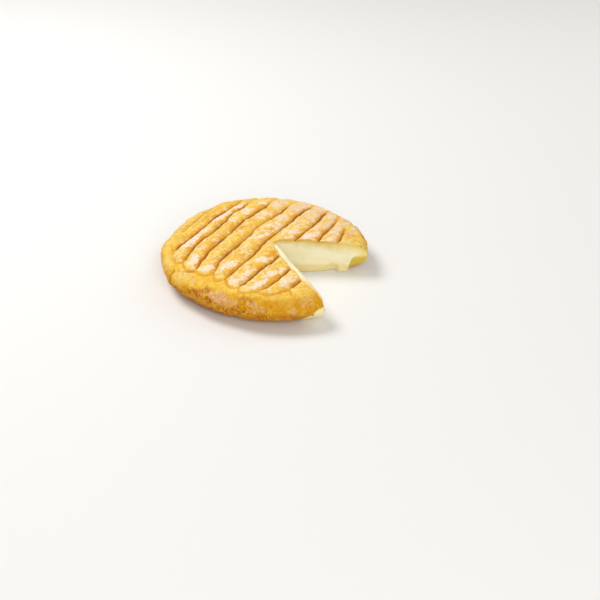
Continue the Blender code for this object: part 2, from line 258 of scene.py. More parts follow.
PALE = (
    (80, 20, 17, 24, 0, 1), (-90, -10, 12, 60, 0, 0.9), (75, -47, 4, 9, -8, 0.9),
    (77, -60, 5, 8, 0, 0.6), (58, -78, 12, 4, 12, 0.7), (64, 66, 12, 5, 40, 0.8),
    (85, 40, 10, 15, 0, 1), (-66, -69, 9, 7, 30, 1.1), (-40, -82, 9, 6, 10, 1.3),
)
# The same on the side: direction (deg) and height (mm)
SIDE_BLOOM = (
    (281.5, 22.2, 8.2, 3.2, -12, 1.15), (299, 23.2, 2.5, 1.5, 0, 1.15),
    (299.3, 18.4, 2.3, 1.7, 0, 1), (303.8, 20.2, 3.2, 2.2, -20, 0.85),
    (326.5, 25, 3.4, 3.8, 0, 0.6), (319.6, 18.7, 2.4, 2.8, 0, 0.7),
    (267.3, 22, 1.8, 2.4, 0, 0.8), (259.4, 25.6, 1.3, 1.3, 0, 0.9), (160, 14, 9, 6, 0, 0.6),
    (75, 16, 9, 6, 0, 0.6), (120, 15, 6, 5, 0, 0.5), (195, 14, 8, 5, 0, 0.55),
    (52, 14, 5, 4, 0, 0.5),
)
SIDE_BROWN = (
    (249.5, 13.4, 4.5, 3.5, 0, 1), (262.8, 20.4, 3, 2.6, 0, 0.9), (274, 18.4, 3.6, 3, -10, 1),
    (267, 20.6, 2.6, 3.2, 0, 0.9), (292.8, 17.2, 5, 4, -10, 0.9), (294.4, 25.4, 5, 2.4, 0, 0.6),
    (270, 8, 15, 4.5, 0, 1), (317, 13, 9, 3.4, -20, 0.6), (286, 13, 6, 4, 0, 0.8),
    (256, 11, 6, 5, 0, 0.8), (170, 10, 8, 6, 0, 0.6), (102, 10, 9, 6, 0, 0.6),
    (302, 12, 6, 4, 0, 0.6), (270.5, 24.6, 2.4, 2.2, 0, 0.7),
)


def smooth(a, b, x):
    """Soft step from 0 at a to 1 at b."""
    t = np.clip((x - a) / (b - a), 0.0, 1.0)
    return t * t * (3.0 - 2.0 * t)


def bell(x, middle, width, power=2):
    """Soft peak of height 1 at the middle."""
    return np.exp(-np.abs((x - middle) / width) ** power)


def curve(x, knots):
    """Value at x on straight lines between knots (place, value)."""
    return np.interp(x, [k[0] for k in knots], [k[1] for k in knots])


def turned(x, y, degrees):
    """The two coordinates seen from axes turned by an angle."""
    a = math.radians(degrees)
    return x * math.cos(a) + y * math.sin(a), -x * math.sin(a) + y * math.cos(a)


def cell(ix, iy, iz, seed):
    """Fixed value from -1 to 1 for a corner of the noise grid."""
    h = (ix * 374761393 + iy * 668265263 + iz * 1440662683 + seed * 982451653) & 0xFFFFFFFF
    h = ((h ^ (h >> 13)) * 1274126177) & 0xFFFFFFFF
    h = ((h ^ (h >> 16)) * 2246822519) & 0xFFFFFFFF
    return (h ^ (h >> 15)) / 2147483648.0 - 1.0


def noise(p, size, seed):
    """Smooth random field from -1 to 1 with features of the given size."""
    g = p / size
    i = np.floor(g).astype(np.int64)
    f = g - i
    w = f * f * f * (f * (f * 6.0 - 15.0) + 10.0)
    out = np.zeros(len(p))
    for corner in np.ndindex(2, 2, 2):
        part = np.where(corner, w, 1.0 - w)
        out += part[:, 0] * part[:, 1] * part[:, 2] * cell(*(i + corner).T, seed)
    return out


def field(p, layer):
    """Random field of a row of strength, size, seed and octaves."""
    strength, size, seed, octaves = layer
    total = np.zeros(len(p))
    for k in range(octaves):
        total += 0.5 ** k * noise(p, size / 2.0 ** k, seed + k)
    return strength * total


def flat3(x, y, z=0.0):
    return np.stack([x, y, np.zeros_like(x) + z], -1)


def rim(phi):
    """Radius of the widest line, by the direction in radians."""
    r = np.full_like(phi, RIM_RADIUS)
    for order, size, lobe in RIM_LOBES:
        r = r + size * np.cos(order * (phi - math.radians(lobe)))
    deg = np.degrees(phi) % 360.0
    r = r + SLUMP_A * bell(deg, CUT_A_TOP_ANGLE, SLUMP_ANGLE)
    r = r + SLUMP_B * bell(deg, CUT_B_TOP_ANGLE, SLUMP_ANGLE)
    return r


def dome(x, y):
    """Height of the smooth top and its unit normal."""
    phi = np.arctan2(y, x)
    r = np.hypot(x, y)
    big = rim(phi)
    q = np.clip(r / big, 0.0, 0.999999)
    rise = TOP_HEIGHT - BULGE_HEIGHT
    root = np.sqrt(1.0 - q ** TOP_POWER)
    z = BULGE_HEIGHT + rise * root
    out = TOP_POWER * q ** (TOP_POWER - 1.0) / big
    up = 2.0 * root / rise
    size = np.hypot(out, up)
    safe = np.maximum(r, 1e-9)
    return z, np.stack([out / size * x / safe, out / size * y / safe, up / size], -1)


def crease_frame(x, y):
    """Distances across (u) and along (v) the creases."""
    a = math.radians(CREASE_AXIS)
    v = x * math.cos(a) + y * math.sin(a)
    u = x * math.sin(a) - y * math.cos(a)
    return u, v


def crease_line(row, v):
    """Where a crease runs, across the creases, at v along them."""
    offset, lean, bow, twist, wave, turn = row[:6]
    t = v / CREASE_SPAN
    wave = wave * np.sin(2.0 * math.pi * v / WAVE_LENGTH + math.radians(turn))
    return (offset + lean * t + bow * t ** 2 + twist * t ** 3 + wave) * 0.001


def crease_strength(row, v):
    """Share of a crease's full depth at v along it."""
    share, front, back = row[6], row[7] * 0.001, row[8] * 0.001
    front = smooth(front - 0.004, front + 0.006, v)
    return share * front * (1.0 - smooth(back - 0.010, back + 0.005, v))


def from_cut(x, y, degrees):
    """Distances along a cut's top edge and off it."""
    px, py = x - APEX[0], y - APEX[1]
    a = np.array([math.radians(degrees)])
    d = (rim(a) * np.array([np.cos(a), np.sin(a)]))[:, 0] - np.array(APEX)
    d = d / np.hypot(*d)
    return px * d[0] + py * d[1], px * d[1] - py * d[0]


def near_cut(x, y):
    """How far the knife has flattened the ridges, by the distance from each cut."""
    near = np.zeros_like(x)
    for degrees, share in CUT_CALM:
        along, off = from_cut(x, y, degrees)
        near = np.maximum(near, share * (bell(off, 0.0, EDGE_CALM) * smooth(0.0, 0.006, along)))
    return near


def ridges(u, v):
    """Share of the way across a ridge and how far behind its front end a point is."""
    lines = np.stack([crease_line(row, v) for row in CREASES])
    outer = [np.full_like(u, line)[None] for line in OUTER_LINES]
    lines = np.concatenate([outer[0], lines, outer[1]])
    k = np.clip((u[None] > lines).sum(0), 1, len(lines) - 1)
    index = np.arange(len(u))
    low, high = lines[k - 1, index], lines[k, index]
    across = np.clip((u - low) / (high - low), 0.0, 1.0)
    fronts = [row[7] * 0.001 for row in CREASES]
    ends = [(crease_line(row, front), front) for row, front in zip(CREASES, fronts)]
    return across, v - curve(u, ends) + TIP_LOBE * 4.0 * across * (1.0 - across)


def relief(x, y):
    """Height above the smooth top, with masks for the colour of ridges and creases, among them
    painted shade in the creases and on the flanks that face away from the light, a deeper orange
    in the groove before the ridges' ends that is partly painted shade, and painted highlight on
    the lit lips and along the middle of each ridge.
    """
    u, v = crease_frame(x, y)
    spot = flat3(x, y)
    fade = 1.0 - smooth(*RELIEF_FADE, np.hypot(x, y) / rim(np.arctan2(y, x)))
    worn_u = (u - WORN_MIDDLE[0]) / WORN_SIZE[0]
    worn_v = (v - WORN_MIDDLE[1]) / WORN_SIZE[1]
    middle = 1.0 - WORN_SHARE * np.exp(-worn_u ** 2 - worn_v ** 2)
    across, behind = ridges(u, v)
    behind = behind + field(spot, FRONT_WAVE)
    within = smooth(*RIDGES_LEFT, u) * smooth(*RIDGES_RIGHT, u)
    on_ridge = smooth(-0.0014, 0.0022, behind)
    lift = RIDGE_LIFT * (1.0 - (1.0 - on_ridge) * within) * fade
    # The groove before the ridge ends, for its depth and for a deeper orange there that is partly
    # painted shade
    moat = bell(behind, MOAT_PLACE, MOAT_WIDTH) * within * smooth(0.03, -0.01, v)
    calm = 1.0 - near_cut(x, y)
    total = lift - MOAT_DEPTH * moat
    total = total + field(flat3(u * 0.8, v), DIMPLES)
    total = total + field(flat3(u, v * 2.6), RIPPLES) * on_ridge * fade
    stray = field(spot, STRAY) + field(spot, FINE_STRAY)
    change = 1.0 + field(spot, DEPTH_CHANGE)
    # How dark the painted shade in the creases is, changing along them
    dark = 0.80 + field(flat3(u * 4.0, v), DARK_CHANGE)
    floor = np.zeros_like(x)
    shaded_flank = np.zeros_like(x)
    lip = np.zeros_like(x)
    for mid_u, mid_v, half, bow, turn, depth in WRINKLES:
        along, off = turned(u * 1000.0 - mid_u, v * 1000.0 - mid_v, turn)
        along = along / half
        off = 0.001 * (off - bow * along ** 2) + 0.6 * stray
        span = np.exp(-along ** 4) * fade
        total = total - 0.001 * depth * span * bell(off, 0.0, WRINKLE_WIDTH)
        total = total + 0.0004 * depth * span * bell(off, 0.0015, 0.0010)
        # Painted highlight: mask for a pale lip on the lit side of each wrinkle
        lip = np.maximum(lip, 1.5 * depth * span * bell(off, 0.0013, 0.0008))
    for row in CREASES:
        off = u - crease_line(row, v) - stray
        strength = crease_strength(row, v)
        wide = np.where(off < 0.0, CREASE_LEFT, CREASE_RIGHT) * TIGHTEN
        cut = CREASE_DEPTH * bell(off, 0.0, wide, 1.2) * change
        cut = cut + PILLOW_DEPTH * bell(off, 0.0, PILLOW_WIDTH)
        cut = cut + CORE_DEPTH * bell(off, 0.0, CORE_WIDTH, 1.6)
        total = total - fade * middle * strength * calm * cut
        # Painted shade: mask for a dark line along the bottom of each crease
        floor = np.maximum(floor, strength * fade * bell(off, 0.0, 0.0010, 1.5))
        # Painted shade: mask for the ridge flank beside each crease that faces away from the
        # light
        shaded_flank = np.maximum(shaded_flank, strength * fade * bell(off, -0.0023, 0.0026, 2.4))
        # Painted highlight: mask for a pale lip on the lit side of each crease
        lip = np.maximum(lip, strength * fade * bell(off, 0.0030, 0.0016))
    return total, {
        "crease": floor * middle * dark,
        "shaded_flank": shaded_flank * middle,
        "lip": lip,
        "moat": moat,
        # Middle of each ridge: for the bloom, and for a painted highlight
        "ridge": 4.0 * across * (1.0 - across) * on_ridge,
    }


def top_height(x, y):
    """Height of the top with its relief."""
    z, normal = dome(x, y)
    return z + relief(x, y)[0] / np.maximum(normal[..., 2], 0.5)


def folds(deg, lat):
    """Depth of the folds of the side, each with a soft swelling beside it."""
    total = np.zeros_like(deg)
    for turn, lean, width, low, high, depth in FOLDS:
        off = (deg - turn - lean * (lat - (low + high) / 2.0)) * MM_PER_DEGREE
        off = off + 0.5 * np.sin(lat * 0.7 + turn)
        span = smooth(low - 3.0, low + 4.0, lat) * smooth(high + 2.0, high - 4.0, lat)
        total = total - depth * span * bell(off, 0.0, width, 1.4)
        total = total + 0.35 * depth * span * bell(np.abs(off), 5.0, 3.0)
    return total * 0.001


def side_push(phi, z):
    """How far the side stands out of its smooth form."""
    wave = np.sin(7 * phi + 1.1) + 0.7 * np.sin(13 * phi + 2.0 + 90.0 * z)
    wave = wave + 0.5 * np.sin(23 * phi - 140.0 * z)
    return SIDE_LUMP * 0.6 * wave * np.sin(np.pi * np.clip(z / TOP_HEIGHT, 0.0, 1.0))


# ---- rows of the rounded side
first_turn = math.acos(TOP_EDGE_SHARE ** (TOP_POWER / 2.0))
upper = [first_turn * (1.0 - k / TOP_ROWS) for k in range(TOP_ROWS + 1)]
lower = [math.pi / 2 * k / FOOT_ROWS for k in range(1, FOOT_ROWS + 1)]
ROWS = len(upper) + len(lower)
heights = [BULGE_HEIGHT + (TOP_HEIGHT - BULGE_HEIGHT) * math.sin(a) for a in upper]
heights += [BULGE_HEIGHT * (1.0 - math.sin(a) ** (2 / FOOT_POWER)) for a in lower]
heights[-1] = 0.0
drop = 1.0 - np.array(heights) / heights[0]


def side_row(phi, row):
    """One row of points round the side, from the shoulder (0) down to the foot."""
    big = rim(phi)
    deg = np.degrees(phi)
    if row < len(upper):
        r = big * math.cos(upper[row]) ** (2.0 / TOP_POWER)
        x, y = r * np.cos(phi), r * np.sin(phi)
        z, normal = dome(x, y)
        p = np.stack([x, y, z], -1) + normal * relief(x, y)[0][:, None]
    else:
        across = max(math.cos(lower[row - len(upper)]), 0.0)
        trim = smooth(*TRIM_SPAN, deg)
        inset = FOOT_INSET + FOOT_TUCK_B * bell(deg, CUT_B_TOP_ANGLE, SLUMP_ANGLE)
        inset = inset + FOOT_TRIM * trim + TIP_TUCK * smooth(*TIP_SPAN, deg)
        r = big - inset * (1.0 - across ** (2.0 / (FOOT_POWER - FOOT_ROUND * trim)))
        p = flat3(r * np.cos(phi), r * np.sin(phi), heights[row])
    push = side_push(phi, p[:, 2]) * (0.0 if row == ROWS - 1 else 1.0)
    bead_deg = (deg - BEAD_PLACE[0]) / BEAD_SIZE[0]
    bead_z = (p[:, 2] - BEAD_PLACE[1]) / BEAD_SIZE[1]
    push = push + TIP_BEAD * np.exp(-bead_deg ** 2 - bead_z ** 2)
    p[:, 0] += push * np.cos(phi)
    p[:, 1] += push * np.sin(phi)
    return p


band = np.zeros((BAND_COLUMNS, ROWS, 3))
across_band = np.linspace(0.0, 1.0, BAND_COLUMNS)
for row in range(ROWS):
    fall = drop[row]
    first = CUT_A_TOP_ANGLE + (CUT_A_BASE_ANGLE - CUT_A_TOP_ANGLE) * fall
    last = CUT_B_TOP_ANGLE + (CUT_B_BASE_ANGLE - CUT_B_TOP_ANGLE) * fall
    last += CUT_B_FLARE * 4.0 * fall * (1.0 - fall)
    band[:, row] = side_row(np.radians(first + (last - first) * across_band), row)


# ---- the two cut faces
def cut_normal(end):
    """Unit vector in plan out of a cut face, into the gap of the wedge."""
    d = end[0, :2] - np.array(APEX)
    d = d / np.hypot(*d)
    out = np.array([d[1], -d[0]])
    return -out if out[0] < 0.0 else out


def cut_face(end, offset, dense):
    """Columns of a cut face from the apex out to the end column of the side."""
    s = np.linspace(0.0, 1.0, CUT_COLUMNS + 1)
    apex = np.array(APEX)
    face = np.zeros((CUT_COLUMNS + 1, ROWS, 3))
    out = cut_normal(end)
    near = smooth(0.78, 1.0, s)
    even = np.linspace(0.0, 1.0, ROWS)
    even = even * (1.0 - dense + dense * even)
    fall = even[None, :] * (1.0 - near[:, None]) + drop[None, :] * near[:, None]
    for row in range(ROWS):
        xy = apex + s[:, None] * (end[row, :2] - apex)
        along = s * np.hypot(*(end[row, :2] - apex))
        face[:, row, :2] = xy + offset(s, along, 1.0 - fall[:, row])[:, None] * out
    top = top_height(face[:, 0, 0], face[:, 0, 1])
    even_top = dome(face[:, 0, 0], face[:, 0, 1])[0] - PASTE_DROP
    keep = s ** 12
    for row in range(ROWS):
        calm = smooth(0.0, 0.05, fall[:, row])
        level = (top * (1.0 - calm) + even_top * calm) * (1.0 - fall[:, row])
        face[:, row, 2] = level * (1.0 - keep) + end[row, 2] * keep
    return face


def offset_a(s, along, level):
    """How far cut A stands out: share and distance along it, and level from 0 to 1."""
    swell = PASTE_SWELL * 4.0 * level * (1.0 - level) * np.sin(np.pi * s)
    edge = -CUT_A_EDGE * bell(along, *CUT_A_EDGE_PLACE) * level ** 2
    spread = CUT_A_SPREAD * (1.0 - level) * smooth(0.0, 0.4, s) * smooth(1.0, 0.88, s)
    low = smooth(0.45, 0.05, level)
    scoop = -CUT_A_SCOOP * bell(along, *CUT_A_SCOOP_PLACE) * low
    drip = CUT_A_DRIP * bell(along, *CUT_A_DRIP_PLACE, 6) * low
    drip = DRIP_SHARE * drip * (1.0 + 0.12 * np.sin(along * 900.0))
    rind = -0.0009 * smooth(0.90, 0.96, level + 0.010 * np.sin(along * 210.0))
    sag = 0.0005 * bell(level - 0.26 - 0.02 * np.sin(along * 90.0), 0.0, 0.04)
    over = smooth(-0.0006, 0.0012, level * TOP_HEIGHT - curve(along, SKIN_LINE))
    belly = 0.0020 * (over - 0.45) * smooth(0.066, 0.075, along)
    total = swell + edge + spread + scoop + drip + rind + sag + belly
    return total * smooth(0.0, 0.08, s) * smooth(1.0, 0.97, s)


def offset_b(s, along, level):
    """The same for cut B, where the rind stands back and its lip curls out."""
    swell = PASTE_SWELL * 4.0 * level * (1.0 - level) * np.sin(np.pi * s)
    fall = np.clip((1.0 - level) * TOP_HEIGHT / LIP_DROP, 0.0, 1.0)
    lip = np.sqrt(1.0 - (1.0 - fall) ** 2)
    full = LIP_REACH + (CUT_B_SQUEEZE - LIP_REACH) * smooth(0.90, 0.75, level)
    full = full + LIP_OUT * smooth(0.45, 0.70, s) * smooth(0.98, 0.88, s)
    pull = 0.001 * curve(s, LIP_PULL) * (1.0 + 0.14 * np.sin(along * 190.0 + 0.6))
    edge = -pull * (1.0 - lip) + full * lip * (1.0 + 0.08 * np.sin(along * 130.0 + 1.0))
    hollow = -CUT_B_HOLLOW * 6.75 * s * s * (1.0 - s)
    return (swell + edge) * smooth(0.0, 0.10, s) * smooth(1.0, 0.92, s) + hollow


face_a = cut_face(band[0], offset_a, 0.65)
face_b = cut_face(band[-1], offset_b, 0.97)
apex_column = (face_a[:1] + face_b[:1]) / 2.0
ring = np.concatenate([band, face_b[CUT_COLUMNS - 1:0:-1], apex_column, face_a[1:CUT_COLUMNS]])
COUNT = len(ring)


# ---- top and underside
def inside(points, loop):
    """Which points lie inside a closed plan loop."""
    hit = np.zeros(len(points), bool)
    for (ax, ay), (bx, by) in zip(loop, np.roll(loop, -1, 0)):
        if ay == by:
            continue
        spans = (ay > points[:, 1]) != (by > points[:, 1])
        hit ^= spans & (points[:, 0] < ax + (points[:, 1] - ay) * (bx - ax) / (by - ay))
    return hit


def clear_of(points, loop, gap):
    """Points more than gap from every corner of the loop."""
    cells = {}
    for p in loop:
        key = (int(p[0] // CLEAR_CELL), int(p[1] // CLEAR_CELL))
        cells.setdefault(key, []).append(p)
    keep = np.ones(len(points), bool)
    keys = np.floor(points / CLEAR_CELL).astype(int)
    for (i, j), group in cells.items():
        close = (np.abs(keys[:, 0] - i) <= 1) & (np.abs(keys[:, 1] - j) <= 1)
        index = np.nonzero(close)[0]
        for p in group:
            d = np.hypot(points[index, 0] - p[0], points[index, 1] - p[1])
            keep[index[d < gap]] = False
    return points[keep]


def grid_points(loop, pitch):
    """Points of a triangular grid inside the loop, clear of its corners."""
    gy = np.arange(-GRID_REACH, GRID_REACH, pitch * 0.866)
    x, y = np.meshgrid(np.arange(-GRID_REACH, GRID_REACH, pitch), gy)
    x = x + pitch * 0.5 * (np.arange(len(gy))[:, None] % 2)
    points = np.stack([x.ravel(), y.ravel()], -1)
    return clear_of(points[inside(points, loop)], loop, pitch * 0.62)


def fill(loop, points):
    """Triangles over a plan loop, from its corners and the inner points."""
    n = len(loop)
    coords = [(float(p[0]) * 1000.0, float(p[1]) * 1000.0) for p in [*loop, *points]]
    result = delaunay_2d_cdt(coords, [(k, (k + 1) % n) for k in range(n)], [], 1, 1e-5)
    places = np.array([tuple(p) for p in result[0]])
    tris = np.array(result[2])
    index = np.array([o[0] if o else -1 for o in result[3]])
    p = places[tris]
    e, f = p[:, 1] - p[:, 0], p[:, 2] - p[:, 0]
    wrong = e[:, 0] * f[:, 1] - e[:, 1] * f[:, 0] < 0.0
    tris[wrong] = tris[wrong][:, ::-1]
    return index[tris]


# ---- corners and faces
column = np.arange(COUNT)[:, None]
row = np.arange(ROWS - 1)[None, :]
beside = (column + 1) % COUNT
top_left, low_left = column * ROWS + row, column * ROWS + row + 1
top_right, low_right = beside * ROWS + row, beside * ROWS + row + 1
odd = ((column + row) % 2).astype(bool)[..., None]
halves = (
    np.where(odd, np.stack([top_left, low_left, low_right], -1),
             np.stack([top_left, low_left, top_right], -1)),
    np.where(odd, np.stack([top_left, low_right, top_right], -1),
             np.stack([low_left, low_right, top_right], -1)),
)
wall = np.concatenate([half.reshape(-1, 3) for half in halves])
is_cut = np.broadcast_to(column >= BAND_COLUMNS - 1, top_left.shape).reshape(-1)

top_loop = ring[:, 0, :2]
base_loop = ring[:, ROWS - 1, :2]
top_flat = grid_points(top_loop, TOP_PITCH)
base_flat = grid_points(base_loop, BASE_PITCH)
first_top = COUNT * ROWS
first_base = first_top + len(top_flat)

top_tris = fill(top_loop, top_flat)
top_tris = np.where(top_tris < COUNT, top_tris * ROWS, first_top + top_tris - COUNT)
base_tris = fill(base_loop, base_flat)[:, ::-1]
base_tris = np.where(
    base_tris < COUNT, base_tris * ROWS + ROWS - 1, first_base + base_tris - COUNT
)

spots = np.concatenate(
    [
        ring.reshape(-1, 3),
        flat3(top_flat[:, 0], top_flat[:, 1], top_height(top_flat[:, 0], top_flat[:, 1])),
        flat3(base_flat[:, 0], base_flat[:, 1]),
    ]
)
faces = np.concatenate([wall, top_tris, base_tris])
face_cut = np.concatenate([is_cut, is_cut, np.zeros(len(top_tris) + len(base_tris), bool)])

normals = np.zeros_like(spots)
one, two, three = spots[faces].transpose(1, 0, 2)
cross = np.cross(two - one, three - one)
for k in range(3):
    np.add.at(normals, faces[:, k], cross)
normals /= np.maximum(np.linalg.norm(normals, axis=1), 1e-12)[:, None]

# ---- what each corner is
x_all, y_all, height = spots.T.copy()
marks = relief(x_all, y_all)[1]
phi = np.arctan2(y_all, x_all)
radius = np.hypot(x_all, y_all)
rim_radius = rim(phi)
share = radius / rim_radius
deg = np.degrees(phi) % 360.0
above = smooth(0.55, 0.70, height / TOP_HEIGHT)
u_all, v_all = crease_frame(x_all, y_all)

columns = np.arange(len(spots)) // ROWS
on_wall = np.arange(len(spots)) < first_top
on_cut = on_wall & (columns >= BAND_COLUMNS)
on_b = on_cut & (columns < BAND_COLUMNS + CUT_COLUMNS - 1)
on_a = on_cut & ~on_b
along_cut = np.hypot(x_all - APEX[0], y_all - APEX[1])

# Depth under the rind, down the cut face or in from the side, whichever is less
step = np.linalg.norm(np.diff(ring, axis=1), axis=2)
under_top = np.zeros(len(spots))
under_top[:first_top] = np.concatenate([np.zeros((COUNT, 1)), np.cumsum(step, axis=1)], 1).ravel()
arc = np.clip((height - BULGE_HEIGHT) / (TOP_HEIGHT - BULGE_HEIGHT), -1.0, 1.0)
edge_up = rim_radius * np.clip(1.0 - arc ** 2, 0.0, 1.0) ** (1.0 / TOP_POWER)
sink = np.clip(1.0 - height / BULGE_HEIGHT, 0.0, 1.0)
edge_low = rim_radius - FOOT_INSET * (1.0 - (1.0 - sink ** FOOT_POWER) ** (1.0 / FOOT_POWER))
under_side = np.clip(np.where(height > BULGE_HEIGHT, edge_up, edge_low) - radius, 0.0, 0.05)
under_side = under_side + 0.05 * smooth(0.90, 0.80, share)
under_rind = np.minimum(under_top * np.where(on_b, 2.6, 1.0), under_side)

bead_edge = curve(deg, BEAD_EDGE) + field(spots, BEAD_WAVE)
on_tip = on_wall * (deg > 300.0) * ~on_cut
bead = smooth(0.0004, -0.0004, height - bead_edge) * on_tip
bead_push = BEAD_PUSH * smooth(0.0, 0.0022, bead_edge - height) * on_tip

# ---- fine relief
lat = height * 1000.0 + MM_PER_SHARE * (1.0 - share) * (height > BULGE_HEIGHT)
outer = smooth(0.84, 0.94, share)
rough = field(spots, GRAIN) * (1.0 + 0.5 * outer) + field(spots, FINE_GRAIN)
warts = smooth(0.25, 0.75, noise(spots, 0.0040, 47)) * smooth(-0.1, 0.4, noise(spots, 0.018, 48))
lumps = field(spots, LUMPS) * (0.35 + 0.65 * outer)
lumps = lumps + field(spots, SMALL_LUMPS) * outer + WART_HEIGHT * warts * outer
fold = folds(deg, lat) * smooth(0.75, 0.81, share)
lumps = lumps + fold
ribs = field(flat3(phi * 0.1, height * 0.16), SIDE_RIBS) * smooth(0.86, 0.95, share)
smear = field(spots * np.array([1.0, 1.0, 2.5]), SMEAR)
pit_deg, pit_z = (deg - PIT_PLACE[0]) / PIT_SIZE[0], (height - PIT_PLACE[1]) / PIT_SIZE[1]
pit = np.exp(-pit_deg ** 2 - pit_z ** 2) * (share > 0.8)
pores = smooth(0.62, 0.80, noise(spots, 0.0032, 61)) * smooth(0.1, 0.5, noise(spots, 0.013, 62))
push = np.where(on_cut, smear - PORE_DEPTH * pores, rough + lumps + ribs)
push = push * smooth(0.0002, 0.0030, height) - PIT_DEPTH * pit
push = push * np.where(on_cut, smooth(0.0, 0.0015, under_rind), 1.0)
push = push * (1.0 - 0.7 * bead) + bead_push * smooth(0.0, 0.0040, height)
spots = spots + normals * push[:, None]
spots[:, 2] = np.maximum(spots[:, 2], 0.0)


# ---- colour masks
def wander(values, layers):
    """Values shifted by random fields."""
    for layer in layers:
        values = values + field(spots, layer)
    return values


def patches(rows, across, along):
    """Soft oval patches from the rows of a colour table."""
    total = np.zeros(len(across))
    for mid_across, mid_along, half_across, half_along, turn, strength in rows:
        x, y = turned(across - mid_across, along - mid_along, turn)
        x, y = x / half_across, y / half_along
        total = np.maximum(total, strength * np.exp(-(0.7 * (x * x + y * y)) ** 1.4))
    return total


def top_patches(rows):
    return patches(rows, warp_u * 1000.0, warp_v * 1000.0)


def side_patches(rows):
    return patches(rows, warp_deg, warp_z * 1000.0) * smooth(0.85, 0.95, share)


warp_u = wander(u_all, WANDER_U)
warp_v = wander(v_all, WANDER_V)
warp_deg = wander(deg, WANDER_DEG)
warp_z = wander(height, WANDER_Z)

# Bloom: the placed patches, a thin cover over the far right part of the top and a
# thicker one along its far edge, all on the ridges alone
bloom = top_patches(BLOOM)
bloom = np.maximum(bloom, 0.27 + 0.20 * smooth(0.0, 0.030, v_all) * smooth(-0.03, 0.0, u_all))
bloom = np.maximum(bloom, 0.68 * smooth(0.052, 0.066, v_all) * smooth(-0.046, -0.034, u_all))
back = smooth(0.060, 0.080, v_all)
inner = smooth(0.95, 0.90, share - 0.05 * back)
bloom = bloom * (smooth(-0.0005, 0.0030, marks["ridge"] * 0.004) * inner) * above
bloom = bloom * smooth(0.076, 0.066, u_all) * (0.20 + 0.80 * smooth(-0.076, -0.067, u_all))
front = smooth(0.010, -0.030, v_all)
golden = smooth(0.93 - 0.06 * front, 0.99 - 0.035 * front, share)
left = smooth(284.0, 262.0, deg) * front
golden = golden * (1.0 - left * smooth(0.019, 0.025, height))
edge_a = bell(from_cut(spots[:, 0], spots[:, 1], CUT_A_TOP_ANGLE)[1], 0.0, 0.0052)
edge_a = edge_a * smooth(0.054, 0.068, along_cut) * (deg < 90.0)
under_skin = height - curve(along_cut, SKIN_LINE) + field(spots, SKIN_WAVE)
# Painted shade along the folds of the side, laid with the crease colour
fold_shade = np.clip(fold * -400.0 - 0.2, 0.0, 0.45)
narrow = np.where(on_b, 1.0, curve(along_cut, BAND_A))
masks = {
    # Painted shade: where the dark crease colour goes, in the creases, the pit and the folds
    "crease": np.maximum(np.maximum(marks["crease"], pit), fold_shade),
    # Painted shade on the ridge flank that faces away from the light
    "shaded_flank": marks["shaded_flank"],
    # Painted highlight on the lit side of each crease and wrinkle
    "lip": marks["lip"],
    # Deeper orange in the groove before the ridges' ends, partly painted shade
    "moat": marks["moat"] * above,
    # Middle of each ridge, also used for a painted highlight
    "ridge": marks["ridge"] * above,
    "bloom": bloom * (1.0 - np.clip(marks["crease"] * 1.3, 0.0, 1.0)),
    "side_bloom": side_patches(SIDE_BLOOM),
    "rust": top_patches(RUST) * above,
    "olive": top_patches(OLIVE) * above,
    "pale": top_patches(PALE) * smooth(0.006, 0.016, height),
    "golden": golden,
    # Painted shade: the side darker towards the bottom
    "low": smooth(0.024, 0.012, height) * smooth(0.93, 0.99, share),
    # Painted shadow: where the cheese meets the floor
    "foot": smooth(0.014, 0.002, height),
    "brown": side_patches(SIDE_BROWN),
    "bead": bead,
    "skin": smooth(0.0005, -0.0012, under_skin) * on_a,
    "edge": edge_a,
    "far": smooth(0.052, 0.076, along_cut) * (deg < 90.0),
    "warm": on_b * smooth(0.062, 0.078, along_cut),
    "rosy": smooth(0.020, 0.055, v_all) * smooth(-0.045, -0.015, u_all),
    "under": np.clip(under_rind * 1000.0 * narrow, 0.0, 40.0),
    "high": height * 1000.0,
}
spots -= np.array(ORIGIN_SHIFT)

mesh = bpy.data.meshes.new("cheese")
mesh.vertices.add(len(spots))
mesh.vertices.foreach_set("co", spots.astype(np.float32).ravel())
mesh.loops.add(len(faces) * 3)
mesh.loops.foreach_set("vertex_index", faces.astype(np.int32).ravel())
mesh.polygons.add(len(faces))
for name, values in (
    ("loop_start", np.arange(0, len(faces) * 3, 3, dtype=np.int32)),
    ("loop_total", np.full(len(faces), 3, np.int32)),
    ("material_index", face_cut.astype(np.int32)),
    ("use_smooth", np.ones(len(faces), bool)),
):
    mesh.polygons.foreach_set(name, values)
mesh.update(calc_edges=True)
mesh.validate()
for name, values in masks.items():
    layer = mesh.attributes.new(name, "FLOAT", "POINT")
    layer.data.foreach_set("value", values.astype(np.float32))
cheese = bpy.data.objects.new("cheese", mesh)
bpy.context.scene.collection.objects.link(cheese)


# ---- materials
def palette(**colours):
    """Linear colours of sRGB ones from 0 to 255."""
    out = {}
    for name, rgb in colours.items():
        parts = [v / 255.0 for v in rgb]
        parts = [v / 12.92 if v <= 0.04045 else ((v + 0.055) / 1.055) ** 2.4 for v in parts]
        out[name] = (*parts, 1.0)
    return out


